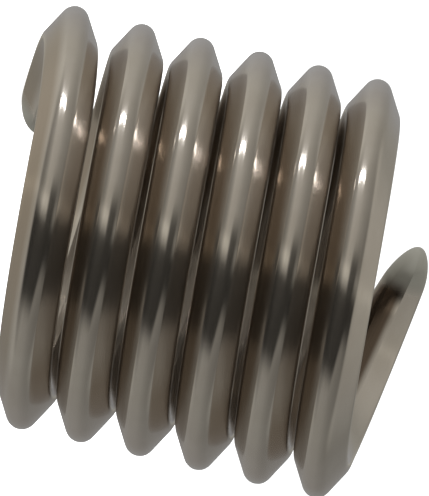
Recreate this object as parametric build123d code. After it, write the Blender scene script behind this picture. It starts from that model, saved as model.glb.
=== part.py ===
from build123d import *

import os
from math import cos, degrees, radians, sin, tan

# Helical thread insert: one length of stainless wire, rolled to a 60 degree diamond section
# and wound into a right-hand coil. Its rounded outer ridges screw into an oversize tapped
# hole, and its flat inner ridges are the crests of the thread that a bolt runs in. Both ends
# are cut plain, domed, and sprung a little away from the coil. It stands on its first end,
# with the coil's axis on Z and its lowest point at z = 0. Millimetres and degrees.

# --- thread ---
pitch = 1.4111                 # from one turn to the next along the axis, 18 to the inch
outer_diameter = 9.84          # over the rounded outer ridges
minor_diameter = 6.50          # between the flat inner ridges
start_angle = -62.0            # where the wire begins, about Z
turns = 5.97                   # full turns from one tip to the other

# --- wire ---
flank_angle = 60.0             # between the two flanks that meet at a ridge
sharp_width = 1.37             # along the axis, between side corners left sharp
wire_width = 1.27              # along the axis, between the flats rolled on those corners
ridge_radius = 0.33            # of the outer ridge

# --- ends ---
first_spring = 0.32            # how far the first tip stands off the even pitch
first_spring_reach = 124.0     # how much of the coil that takes
last_spring = 0.53
last_spring_reach = 90.0
spring_power = 1.5             # how gently an end leaves the even pitch
tip_spread = 0.07              # how much further out the first tip lies
tip_spread_reach = 360.0
dome_length = 1.70             # from where the wire starts to taper to its tip
dome_ease = 1.08               # the dome's base against the wire's own section
cutter_margin = 0.15           # how far the tool that cuts a dome reaches beside the wire

points_per_turn = 10           # of the smooth line that the wire follows

# --- worked out from the sizes above ---
half_flank = radians(flank_angle / 2)
sharp_ridge = sharp_width / 2 / tan(half_flank)
outer_ridge = sharp_ridge - ridge_radius / sin(half_flank) + ridge_radius
coil_radius = outer_diameter / 2 - outer_ridge
inner_ridge = coil_radius - minor_diameter / 2
inner_flat = 2 * (sharp_ridge - inner_ridge) * tan(half_flank)
side_flat = (sharp_width - wire_width) / tan(half_flank)
end_angle = start_angle + 360 * turns


def coil_point(angle, outward=0.0):
    """The centre of the wire at an angle about Z, or a point that far outward of it."""
    to_first = max(0.0, 1 - ((angle - start_angle) / first_spring_reach) ** 2)
    to_last = max(0.0, 1 - (end_angle - angle) / last_spring_reach)
    to_tip = max(0.0, 1 - (angle - start_angle) / tip_spread_reach)
    height = pitch * angle / 360
    height += last_spring * to_last**spring_power - first_spring * to_first**spring_power
    radius = coil_radius + tip_spread * to_tip + outward
    return Vector(radius * cos(radians(angle)), radius * sin(radians(angle)), height)


def coil_line(outward=0.0):
    """A smooth line along the whole wire, through its centre or outward of it."""
    count = round(turns * points_per_turn)
    step = (end_angle - start_angle) / count
    return Spline([coil_point(start_angle + step * i, outward) for i in range(count + 1)])


def wire_section(path):
    """The rolled section at the start of the path: outer ridge rounded, the rest flat."""
    outward = coil_point(start_angle, outer_ridge) - path @ 0
    plane = Plane(origin=path @ 0, x_dir=outward, z_dir=path % 0)
    one_side = [
        (sharp_ridge, 0),
        (side_flat / 2, wire_width / 2),
        (-side_flat / 2, wire_width / 2),
        (-inner_ridge, inner_flat / 2),
    ]
    other_side = [(across, -along) for across, along in reversed(one_side[1:])]
    section = make_face(Polyline(*one_side, *other_side, close=True))
    tip = section.vertices().sort_by(Axis.X)[-1]
    return plane * fillet(tip, ridge_radius)


def dome_cutter(tip_angle, inward):
    """What is cut away at an end to leave a dome; inward is the way along the coil from it."""
    base_angle = tip_angle + inward * degrees(dome_length / coil_radius)
    base = coil_point(base_angle)
    to_tip = coil_point(tip_angle) - base
    outward = coil_point(base_angle, outer_ridge) - base
    plane = Plane(origin=base, x_dir=to_tip, z_dir=to_tip.cross(outward))
    half_depth = inner_ridge + tip_spread
    half_sizes = (dome_length, dome_ease * half_depth, dome_ease * sharp_width / 2)
    dome = scale(Sphere(1), by=half_sizes)
    blank = Box(
        dome_length + half_depth,
        2 * (half_depth + cutter_margin),
        wire_width + 2 * cutter_margin,
        align=(Align.MIN, Align.CENTER, Align.CENTER),
    )
    return plane * (blank - dome)


def thread_insert():
    """The whole insert: wound from its section, and domed at both ends."""
    path = coil_line()
    wire = sweep(wire_section(path), path, binormal=coil_line(outward=outer_ridge))
    wire -= dome_cutter(start_angle, 1)
    wire -= dome_cutter(end_angle, -1)
    return Pos(0, 0, -wire.bounding_box().min.Z) * wire


insert = thread_insert()
os.makedirs("parts", exist_ok=True)
export_step(insert, "parts/thread_insert.step")
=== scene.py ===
import math

import bpy
from mathutils import Matrix, Vector


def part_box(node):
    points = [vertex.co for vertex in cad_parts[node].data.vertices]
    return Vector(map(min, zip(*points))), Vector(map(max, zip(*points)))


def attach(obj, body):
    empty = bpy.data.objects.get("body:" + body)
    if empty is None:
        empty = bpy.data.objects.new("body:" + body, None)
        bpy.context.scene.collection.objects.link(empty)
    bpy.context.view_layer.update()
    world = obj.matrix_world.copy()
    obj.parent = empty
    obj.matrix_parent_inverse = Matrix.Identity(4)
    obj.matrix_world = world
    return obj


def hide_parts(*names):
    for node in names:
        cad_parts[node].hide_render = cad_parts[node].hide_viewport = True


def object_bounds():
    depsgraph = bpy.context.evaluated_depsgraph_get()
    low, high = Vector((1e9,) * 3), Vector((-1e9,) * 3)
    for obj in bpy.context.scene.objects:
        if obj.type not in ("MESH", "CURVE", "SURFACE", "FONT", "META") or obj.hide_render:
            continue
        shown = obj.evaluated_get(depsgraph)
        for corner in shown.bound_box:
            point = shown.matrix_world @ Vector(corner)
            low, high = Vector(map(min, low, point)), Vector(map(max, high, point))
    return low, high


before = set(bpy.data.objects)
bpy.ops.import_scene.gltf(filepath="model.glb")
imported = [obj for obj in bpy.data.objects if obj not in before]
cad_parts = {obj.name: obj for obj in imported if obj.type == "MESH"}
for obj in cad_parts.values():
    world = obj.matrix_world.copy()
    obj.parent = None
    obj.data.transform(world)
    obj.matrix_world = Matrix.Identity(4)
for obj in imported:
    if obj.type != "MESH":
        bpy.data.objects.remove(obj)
cad_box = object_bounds()


# --- The wire insert ------------------------------------------------------------------------
# One length of 18-8 stainless wire, cold rolled to a 60 degree diamond and wound like a spring
# into a right-hand coil of six turns. The outer ridge is rounded, the inner ridge is flat, and
# both cut ends are domed. Nothing is fitted to it, so the whole insert is this one piece.
MM = 0.001

# The thread and the wire's section, in millimetres and degrees.
pitch = 1.4111
outer_diameter = 9.84                       # over the outer ridges
minor_diameter = 6.50                       # between the flat inner ridges
start_angle = -62.0                         # where the wire begins, about Z
turns = 5.975
half_flank = math.radians(30)
sharp_width = 1.37                          # along the axis, if the side corners were sharp
wire_width = 1.27                           # along the axis, between the side flats
ridge_radius = 0.33                         # of the outer ridge
edge_radius = 0.3                           # of the corners beside the side flats

# The ends: how far each stands off the even pitch, and how much of the coil that takes. The
# last one is blunter than the first, narrower, and cut a little towards its outer side.
first_spring, first_reach = 0.32, 124.0
last_spring, last_reach = 0.53, 90.0
spring_power = 1.5
tip_spread, spread_reach = 0.0655, 360.0    # how much further out the first end lies
dome_length, last_dome_length = 1.70, 0.95
dome_ease = 1.08                            # a dome's base against the wire's own section
last_narrowing, last_tip_aside = 0.33, 0.16
last_taper_length = 2.7

sharp_ridge = sharp_width / 2 / math.tan(half_flank)
outer_ridge = sharp_ridge - ridge_radius / math.sin(half_flank) + ridge_radius
coil_radius = outer_diameter / 2 - outer_ridge
inner_ridge = coil_radius - minor_diameter / 2
inner_flat = 2 * (sharp_ridge - inner_ridge) * math.tan(half_flank)
side_flat = (sharp_width - wire_width) / math.tan(half_flank)
end_angle = start_angle + 360 * turns
dome_depth = dome_ease * (inner_ridge + tip_spread)
dome_width = dome_ease * sharp_width / 2

# How finely the surface is drawn.
ridge_steps, edge_steps = 16, 4
face_step = 0.12
rings_a_turn, dome_rings = 110, 24


def wire_centre(angle):
    """The centre of the wire at an angle round the coil, in millimetres."""
    to_first = max(0.0, 1 - ((angle - start_angle) / first_reach)**2)
    to_last = max(0.0, 1 - (end_angle - angle) / last_reach)
    to_tip = max(0.0, 1 - (angle - start_angle) / spread_reach)
    height = pitch * angle / 360
    height += last_spring * to_last**spring_power - first_spring * to_first**spring_power
    radius = coil_radius + tip_spread * to_tip
    return Vector((radius * math.cos(math.radians(angle)),
                   radius * math.sin(math.radians(angle)), height))


def rounded(before, corner, after, radius, steps):
    """Points of a corner of the section, rounded to a radius."""
    to_before, to_after = (before - corner).normalized(), (after - corner).normalized()
    half = to_before.angle(to_after) / 2
    centre = corner + (to_before + to_after).normalized() * radius / math.sin(half)
    first = (corner + to_before * radius / math.tan(half) - centre).normalized()
    last = (corner + to_after * radius / math.tan(half) - centre).normalized()
    return [centre + first.slerp(last, i / steps).normalized() * radius
            for i in range(steps + 1)]


def rolled_section():
    """The diamond that the rolls leave: (outward, up the coil) points, and its sharp corners."""
    side_x, side_y = side_flat / 2, wire_width / 2
    shape = [(sharp_ridge, 0, ridge_radius), (side_x, side_y, edge_radius),
             (-side_x, side_y, edge_radius), (-inner_ridge, inner_flat / 2, 0),
             (-inner_ridge, -inner_flat / 2, 0), (-side_x, -side_y, edge_radius),
             (side_x, -side_y, edge_radius)]
    corners = [Vector((x, y)) for x, y, radius in shape]
    radii = [radius for x, y, radius in shape]
    runs = []
    for i, (corner, radius) in enumerate(zip(corners, radii)):
        before, after = corners[i - 1], corners[(i + 1) % len(corners)]
        steps = ridge_steps if radius == ridge_radius else edge_steps
        runs.append(rounded(before, corner, after, radius, steps) if radius else [corner])
    points, sharp = [], []
    for i, run in enumerate(runs):
        if len(run) == 1:
            sharp.append(len(points))
        points += run
        start, end = run[-1], runs[(i + 1) % len(runs)][0]
        steps = max(2, round((end - start).length / face_step))
        points += [start.lerp(end, j / steps) for j in range(1, steps)]
    return points, sharp


def wire_row(angle, section):
    """One ring of the wire's surface, taken in to the dome and the taper near an end."""
    nudge = 0.01
    centre = wire_centre(angle)
    tangent = (wire_centre(angle + nudge) - wire_centre(angle - nudge)).normalized()
    radial = Vector((math.cos(math.radians(angle)), math.sin(math.radians(angle)), 0))
    up = radial.cross(tangent).normalized()
    from_first = coil_radius * math.radians(angle - start_angle)
    from_last = coil_radius * math.radians(end_angle - angle)
    to_tip = max(0.0, 1 - from_first / dome_length, 1 - from_last / last_dome_length)
    to_last = max(0.0, 1 - from_last / last_taper_length)
    size = math.sqrt(1 - to_tip**2)
    aside = last_tip_aside * to_last
    half_width = dome_width - last_narrowing * to_last

    # The smaller of the section and the dome, blended where they meet.
    blend, least_kept = 0.03, 0.2
    ring = []
    for x, y in section:
        y -= aside
        reach = math.hypot(x, y)
        if to_tip or aside:
            limit = size / math.hypot(x / reach / dome_depth, y / reach / half_width)
            least = min(reach, limit)
            kept = least - blend * math.log(math.exp((least - reach) / blend)
                                            + math.exp((least - limit) / blend))
            share = max(kept, least_kept * least) / reach
            x, y = x * share, y * share
        ring.append(centre + radial * x + up * (y + aside))
    return ring


def wire_angles():
    """Where the rings of the surface lie: even along the coil, closer towards each tip."""
    first_span, last_span = (math.degrees(length / coil_radius)
                             for length in (dome_length, last_dome_length))
    eased = [1 - math.sin(math.pi / 2 * i / dome_rings) for i in range(dome_rings)]
    first = [start_angle + first_span * share for share in reversed(eased)]
    last = [end_angle - last_span * share for share in eased]
    count = round((last[0] - first[-1]) / 360 * rings_a_turn)
    middle = [first[-1] + (last[0] - first[-1]) * i / count for i in range(1, count)]
    return first + middle + last


def wound_wire():
    """The whole insert as one closed mesh, with its lowest point where the CAD part's is."""
    section, sharp = rolled_section()
    angles = wire_angles()
    size = len(section)
    points = [point for angle in angles for point in wire_row(angle, section)]
    end = len(points) - size
    first_tip, last_tip = len(points), len(points) + 1
    points += [wire_centre(start_angle), wire_centre(end_angle) + Vector((0, 0, last_tip_aside))]
    faces = []
    for i in range(size):
        j = (i + 1) % size
        for row in range(0, end, size):
            faces.append((row + i, row + j, row + size + j, row + size + i))
        faces.append((first_tip, j, i))
        faces.append((last_tip, end + i, end + j))

    lowest = min(p.z for p in points)
    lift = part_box("thread_insert")[0].z - lowest * MM
    mesh = bpy.data.meshes.new("rolled_wire")
    mesh.from_pydata([p * MM + Vector((0, 0, lift)) for p in points], [], faces)
    mesh.shade_smooth()
    for edge in mesh.edges:
        i, j = edge.vertices
        along_wire = i % size == j % size and max(i, j) < first_tip
        edge.use_edge_sharp = along_wire and i % size in sharp

    # Where each point lies in the wire, for its finish: along it, outward and up the coil.
    lay = [(coil_radius * math.radians(a), x, y) for a in angles for x, y in section]
    lay += [(coil_radius * math.radians(a), 0, 0) for a in (start_angle, end_angle)]
    attribute = mesh.attributes.new("wire_lay", "FLOAT_VECTOR", "POINT")
    for item, value in zip(attribute.data, lay):
        item.vector = value
    wire = bpy.data.objects.new("rolled_wire", mesh)
    bpy.context.collection.objects.link(wire)
    return wire, lift / MM


def linear(text):
    """An sRGB hex colour as the linear colour that a shader takes."""
    parts = [int(text[i:i + 2], 16) / 255 for i in (1, 3, 5)]
    parts = [p / 12.92 if p <= 0.04045 else ((p + 0.055) / 1.055)**2.4 for p in parts]
    return (*parts, 1.0)


def add_node(tree, kind, links=None, stops=(), **settings):
    """One node with its settings and its inputs: a value is set, a socket is linked. A colour
    ramp's stops are places from 0 to 1, each with its tone."""
    node = tree.nodes.new(kind)
    for name, value in settings.items():
        setattr(node, name, value)
    for name, value in (links or {}).items():
        if isinstance(value, bpy.types.NodeSocket):
            tree.links.new(value, node.inputs[name])
        else:
            node.inputs[name].default_value = value
    if stops:
        elements = node.color_ramp.elements
        elements[0].position, elements[-1].position = stops[0][0], stops[-1][0]
        elements[0].color, elements[-1].color = linear(stops[0][1]), linear(stops[-1][1])
        for place, tone in stops[1:-1]:
            elements.new(place).color = linear(tone)
    return node


# The sockets of a mix node that takes colours: the two it mixes, and what comes out.
colour_a, colour_b, mixed_colour = 6, 7, 2


def rolled_stainless():
    """18-8 stainless, cold rolled and left bright: a soft sheen, with the rolls' faint marks
    running along the wire. Painted shade darkens and browns the flank towards the first end
    where it is seen aslant, the cut ends are matt and paler, and painted brown shade lies
    inside the last end."""
    material = bpy.data.materials.new("rolled_stainless_steel")
    material.use_nodes = True
    tree = material.node_tree
    tree.nodes.clear()
    lay = add_node(tree, "ShaderNodeAttribute", attribute_name="wire_lay").outputs["Vector"]
    along, outward, up = add_node(tree, "ShaderNodeSeparateXYZ", {"Vector": lay}).outputs

    # In millimetres. The roll marks are drawn coarser than real ones, so that they show, and
    # are drawn out along the wire by the stretch.
    roll_mark_width, roll_mark_depth = 0.06, 0.002
    roll_mark_stretch = 0.04
    noise_low, noise_high = 0.3, 0.7
    drawn_out = add_node(tree, "ShaderNodeMapping", {
        "Vector": lay, "Scale": (roll_mark_stretch, 1, 1)})
    roll_marks = add_node(tree, "ShaderNodeTexNoise", {
        "Vector": drawn_out.outputs["Vector"], "Scale": 1 / roll_mark_width, "Detail": 2.0})
    blotch_width = 0.9
    blotches = add_node(tree, "ShaderNodeTexNoise", {
        "Vector": lay, "Scale": 1 / blotch_width, "Detail": 3.0})
    tint = add_node(tree, "ShaderNodeValToRGB", {"Fac": blotches.outputs["Fac"]},
                    stops=[(noise_low, "#d4cdc6"), (noise_high, "#dbd5cf")])
    aslant = add_node(tree, "ShaderNodeLayerWeight", {"Blend": 0.5}).outputs["Facing"]

    # Painted shade and cut ends: what each is measured by, where it begins and where it is full.
    at_first, at_last = (coil_radius * math.radians(a) for a in (start_angle, end_angle))
    where = {}
    for name, measure, begins, full in [
            ("first flank", up, -0.22, -0.42),
            ("seen aslant", aslant, 0.2, 0.45),
            ("first cut", along, at_first + 1.2, at_first + 0.7),
            ("last cut", along, at_last - 1.2, at_last - 0.7),
            ("last stretch", along, at_last - 7.0, at_last - 5.0),
            ("inner side", outward, 0.0, -0.5),
            ("first side", up, 0.22, 0.04)]:
        where[name] = add_node(tree, "ShaderNodeMapRange", {
            "Value": measure, "From Min": begins, "From Max": full},
            interpolation_type="SMOOTHSTEP").outputs["Result"]
    # Painted shade: the flank towards the first end is darkened and browned, most where it is
    # seen aslant.
    painted_flank_shade = add_node(tree, "ShaderNodeMath", {
        0: where["first flank"], 1: where["seen aslant"]}, operation="MULTIPLY")
    inside = add_node(tree, "ShaderNodeMath", {
        0: where["last stretch"], 1: where["inner side"]}, operation="MULTIPLY")
    # Painted shade: the inside of the last end, on its side towards the first end, is darkened
    # brown.
    painted_end_shade = add_node(tree, "ShaderNodeMath", {
        0: inside.outputs["Value"], 1: where["first side"]}, operation="MULTIPLY")
    cut = add_node(tree, "ShaderNodeMath", {
        0: where["first cut"], 1: where["last cut"]}, operation="ADD")
    colour = tint.outputs["Color"]
    # Over the wire's own tint: the two painted shades, then the cut ends' paler tone.
    for cover, tone in ((painted_flank_shade, "#b9ada0"), (painted_end_shade, "#74665a"), (cut, "#f0f0ec")):
        colour = add_node(tree, "ShaderNodeMix", {
            "Factor": cover.outputs["Value"], colour_a: colour, colour_b: linear(tone)},
            data_type="RGBA").outputs[mixed_colour]

    smoothest, roughest, cut_roughness, pit_roughness = 0.12, 0.18, 0.85, 0.6
    pitted_share = 0.14
    sheen = add_node(tree, "ShaderNodeMapRange", {
        "Value": roll_marks.outputs["Fac"], "From Min": noise_low, "From Max": noise_high,
        "To Min": smoothest, "To Max": roughest})
    finish = add_node(tree, "ShaderNodeMapRange", {
        "Value": cut.outputs["Value"], "To Min": sheen.outputs["Result"],
        "To Max": cut_roughness})
    relief = add_node(tree, "ShaderNodeBump", {
        "Height": roll_marks.outputs["Fac"], "Distance": roll_mark_depth * MM, "Strength": 0.5})
    bright = add_node(tree, "ShaderNodeBsdfPrincipled", {
        "Base Color": colour, "Metallic": 1.0, "Roughness": finish.outputs["Result"],
        "Normal": relief.outputs["Normal"]})
    pitted = add_node(tree, "ShaderNodeBsdfPrincipled", {
        "Base Color": colour, "Metallic": 1.0, "Roughness": pit_roughness})
    steel = add_node(tree, "ShaderNodeMixShader", {
        "Fac": pitted_share, 1: bright.outputs["BSDF"], 2: pitted.outputs["BSDF"]})
    add_node(tree, "ShaderNodeOutputMaterial", {"Surface": steel.outputs["Shader"]})
    return material


wire, coil_lift = wound_wire()
wire.data.materials.append(rolled_stainless())
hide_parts("thread_insert")
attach(wire, "root")


# --- The floor ------------------------------------------------------------------------------
# A plain matt white table that the insert stands on, evenly lit. The metal doesn't mirror it,
# and the key light, which hangs below its level, shines through it.
floor_size = 0.7
half = floor_size / 2
sheet = bpy.data.meshes.new("floor")
sheet.from_pydata([(-half, -half, 0), (half, -half, 0), (half, half, 0), (-half, half, 0)],
                  [], [(0, 1, 2, 3)])
floor = bpy.data.objects.new("floor", sheet)
bpy.context.collection.objects.link(floor)
matt_white = bpy.data.materials.new("matt_white")
matt_white.use_nodes = True
table = matt_white.node_tree
table.nodes.clear()
chalk = add_node(table, "ShaderNodeBsdfDiffuse", {"Color": linear("#fdfdfd")})
lit = add_node(table, "ShaderNodeEmission", {"Color": linear("#fafafa")})
lit_chalk = add_node(table, "ShaderNodeAddShader", {
    0: chalk.outputs["BSDF"], 1: lit.outputs["Emission"]})
add_node(table, "ShaderNodeOutputMaterial", {"Surface": lit_chalk.outputs["Shader"]})
sheet.materials.append(matt_white)
floor.visible_glossy = False
floor.visible_shadow = False


# --- The room -------------------------------------------------------------------------------
# A studio that is seen as plain white, while the metal mirrors what stands in it: grey walls,
# a dark screen in front with the camera's hood at its top, a paler rim over the screen, and
# brighter panels off to the sides.
world = bpy.data.worlds.new("studio")
bpy.context.scene.world = world
world.use_nodes = True
room = world.node_tree
room.nodes.clear()
way = add_node(room, "ShaderNodeTexCoord").outputs["Generated"]
to_top, to_front, along_coil = add_node(room, "ShaderNodeSeparateXYZ", {"Vector": way}).outputs

# Places in the room are told by their turn about the coil's axis and by how far to the front
# they lie. The turn is 0 in front and grows towards +X, which the camera has at its top. An
# edge at one turn is mirrored straight across every wire.
facing = add_node(room, "ShaderNodeMath", {0: to_front, 1: 1.0},
                  operation="ADD").outputs["Value"]
half_turn = add_node(room, "ShaderNodeMath", {0: to_top, 1: facing}, operation="ARCTAN2")
turn = add_node(room, "ShaderNodeMath", {0: half_turn.outputs["Value"], 1: 2.0},
                operation="MULTIPLY").outputs["Value"]

# The walls' tones round the coil's axis, by degrees of turn, and along it, from -1 to 1.
wall_tones = [(-180, "#888989"), (-150, "#83817e"), (-90, "#85847e"), (-56, "#83817b"),
              (9, "#959289"), (34, "#99968e"), (110, "#9e9c94"), (150, "#949494"),
              (180, "#888989")]
end_tones = [(-1.0, "#a8a8a8"), (-0.6, "#ffffff"), (0.0, "#f4f4f4"), (0.45, "#dbdbdb"),
             (0.87, "#c4c4c4"), (1.0, "#adadad")]
round_it = add_node(room, "ShaderNodeMapRange", {
    "Value": turn, "From Min": -math.pi, "From Max": math.pi})
walls = add_node(room, "ShaderNodeValToRGB", {"Fac": round_it.outputs["Result"]},
                 stops=[((degrees + 180) / 360, tone) for degrees, tone in wall_tones])
along_it = add_node(room, "ShaderNodeMapRange", {"Value": along_coil, "From Min": -1.0})
ends = add_node(room, "ShaderNodeValToRGB", {"Fac": along_it.outputs["Result"]},
                stops=[((place + 1) / 2, tone) for place, tone in end_tones])
lit_walls = add_node(room, "ShaderNodeMix", {
    "Factor": 1.0, colour_a: walls.outputs["Color"], colour_b: ends.outputs["Color"]},
    data_type="RGBA", blend_type="MULTIPLY")

# The screen's foot rises towards the coil's last end, and the hood stands on that side of it.
rise, rise_begins, rise_full = math.radians(26), 0.1, 0.8
hood_place = 0.5
foot_rise = add_node(room, "ShaderNodeMapRange", {
    "Value": along_coil, "From Min": rise_begins, "From Max": rise_full, "To Max": rise},
    interpolation_type="SMOOTHSTEP")
from_foot = add_node(room, "ShaderNodeMath", {0: turn, 1: foot_rise.outputs["Result"]},
                     operation="SUBTRACT").outputs["Value"]
off_level = add_node(room, "ShaderNodeMath", {0: turn}, operation="ABSOLUTE").outputs["Value"]
off_middle = add_node(room, "ShaderNodeMath", {0: along_coil},
                      operation="ABSOLUTE").outputs["Value"]
from_hood = add_node(room, "ShaderNodeMath", {0: along_coil, 1: hood_place}, operation="SUBTRACT")
off_hood = add_node(room, "ShaderNodeMath", {0: from_hood.outputs["Value"]},
                    operation="ABSOLUTE").outputs["Value"]

# The edges of what stands in the room: what each is measured by, where it begins, where it
# is full, and how strong it is there.
edge = {}
for name, measure, begins, full, strength in [
        ("screen foot", from_foot, math.radians(-60), math.radians(-43), 0.92),
        ("screen top", turn, math.radians(3), math.radians(-4), 1.0),
        ("hood sides", off_hood, 0.55, 0.25, 0.85),
        ("hood ends", off_level, math.radians(28), math.radians(10), 1.0),
        ("in front", facing, 0.7, 1.0, 1.0),
        ("rim foot", turn, math.radians(2), math.radians(6), 0.6),
        ("rim top", turn, math.radians(14), math.radians(9), 1.0),
        ("panel edge", off_middle, 0.55, 0.85, 0.8),
        ("off to the side", facing, 0.95, 0.6, 1.0)]:
    edge[name] = add_node(room, "ShaderNodeMapRange", {
        "Value": measure, "From Min": begins, "From Max": full, "To Max": strength},
        interpolation_type="SMOOTHSTEP").outputs["Result"]
screen = add_node(room, "ShaderNodeMath", {0: edge["screen foot"], 1: edge["screen top"]},
                  operation="MULTIPLY")
hood = add_node(room, "ShaderNodeMath", {0: edge["hood sides"], 1: edge["hood ends"]},
                operation="MULTIPLY")
darker = add_node(room, "ShaderNodeMath", {
    0: screen.outputs["Value"], 1: hood.outputs["Value"]}, operation="MAXIMUM")
dark = add_node(room, "ShaderNodeMath", {0: darker.outputs["Value"], 1: edge["in front"]},
                operation="MULTIPLY")
panels = add_node(room, "ShaderNodeMath", {
    0: edge["panel edge"], 1: edge["off to the side"], 2: 1.0}, operation="MULTIPLY_ADD")
bright = add_node(room, "ShaderNodeMath", {
    0: edge["rim foot"], 1: edge["rim top"], 2: panels.outputs["Value"]},
    operation="MULTIPLY_ADD")

wall_strength, white_strength = 1.4, 1.3
undarkened = add_node(room, "ShaderNodeMath", {
    0: dark.outputs["Value"], 1: -wall_strength, 2: wall_strength}, operation="MULTIPLY_ADD")
strength = add_node(room, "ShaderNodeMath", {
    0: undarkened.outputs["Value"], 1: bright.outputs["Value"]}, operation="MULTIPLY")
mirrored = add_node(room, "ShaderNodeBackground", {
    "Color": lit_walls.outputs[mixed_colour], "Strength": strength.outputs["Value"]})
seen = add_node(room, "ShaderNodeBackground", {
    "Color": linear("#ffffff"), "Strength": white_strength})
ray = add_node(room, "ShaderNodeLightPath").outputs
off_metal = add_node(room, "ShaderNodeMath", {0: ray["Is Camera Ray"], 1: ray["Is Diffuse Ray"]},
                     operation="ADD")
studio = add_node(room, "ShaderNodeMixShader", {
    "Fac": off_metal.outputs["Value"], 1: mirrored.outputs["Background"],
    2: seen.outputs["Background"]})
add_node(room, "ShaderNodeOutputWorld", {"Surface": studio.outputs["Shader"]})


# --- The key light --------------------------------------------------------------------------
# A narrow strip lamp beside the coil, at the camera's top, a little in front of the coil and
# towards its first end. It gives each wire a bright spot on the crest and a fainter one on the
# flank.
key_way = Vector((0.83, 0.35, -0.43)).normalized()
key_along = Vector((0.43, 0.47, 0.77))
key_distance = 0.12
key_length, key_height = 0.085, 0.005
key_radiance = 15.0
key = bpy.data.lights.new("key", "AREA")
key.shape = "RECTANGLE"
key.size, key.size_y = key_height, key_length
key.energy = key_radiance * math.pi * key_length * key_height
key_lamp = bpy.data.objects.new("key", key)
bpy.context.collection.objects.link(key_lamp)
middle = (cad_box[0] + cad_box[1]) / 2
key_lamp.location = middle + key_way * key_distance
key_lamp.rotation_mode = "QUATERNION"
key_across = key_along.cross(key_way).normalized()
key_lamp.rotation_quaternion = Matrix(
    (key_across, key_way.cross(key_across), key_way)).transposed().to_quaternion()
key_lamp.visible_camera = False


# --- The camera -----------------------------------------------------------------------------
# It looks at the side of the coil with a long lens, a degree above the coil's own level, and
# is rolled so that the coil's axis runs down to the right.
above = math.radians(1.13)
roll = math.radians(13.2)
view_height = 11.5568 * MM
lens = 700
sensor = 36
back = Vector((0, math.cos(above), math.sin(above)))
coil_axis = Vector((0, -math.sin(above), math.cos(above)))
right = coil_axis * math.cos(roll) + Vector((1, 0, 0)) * math.sin(roll)
aim = Vector((0.212, 0, 4.185 + coil_lift)) * MM
distance = view_height * lens / sensor
camera = bpy.data.cameras.new("camera")
camera.lens = lens
camera.sensor_width = sensor
camera.clip_start, camera.clip_end = distance / 10, distance * 10
eye = bpy.data.objects.new("camera", camera)
bpy.context.collection.objects.link(eye)
eye.location = aim + back * distance
eye.rotation_mode = "QUATERNION"
eye.rotation_quaternion = Matrix((right, back.cross(right), back)).transposed().to_quaternion()
bpy.context.scene.camera = eye
bpy.context.scene.view_settings.view_transform = "Standard"
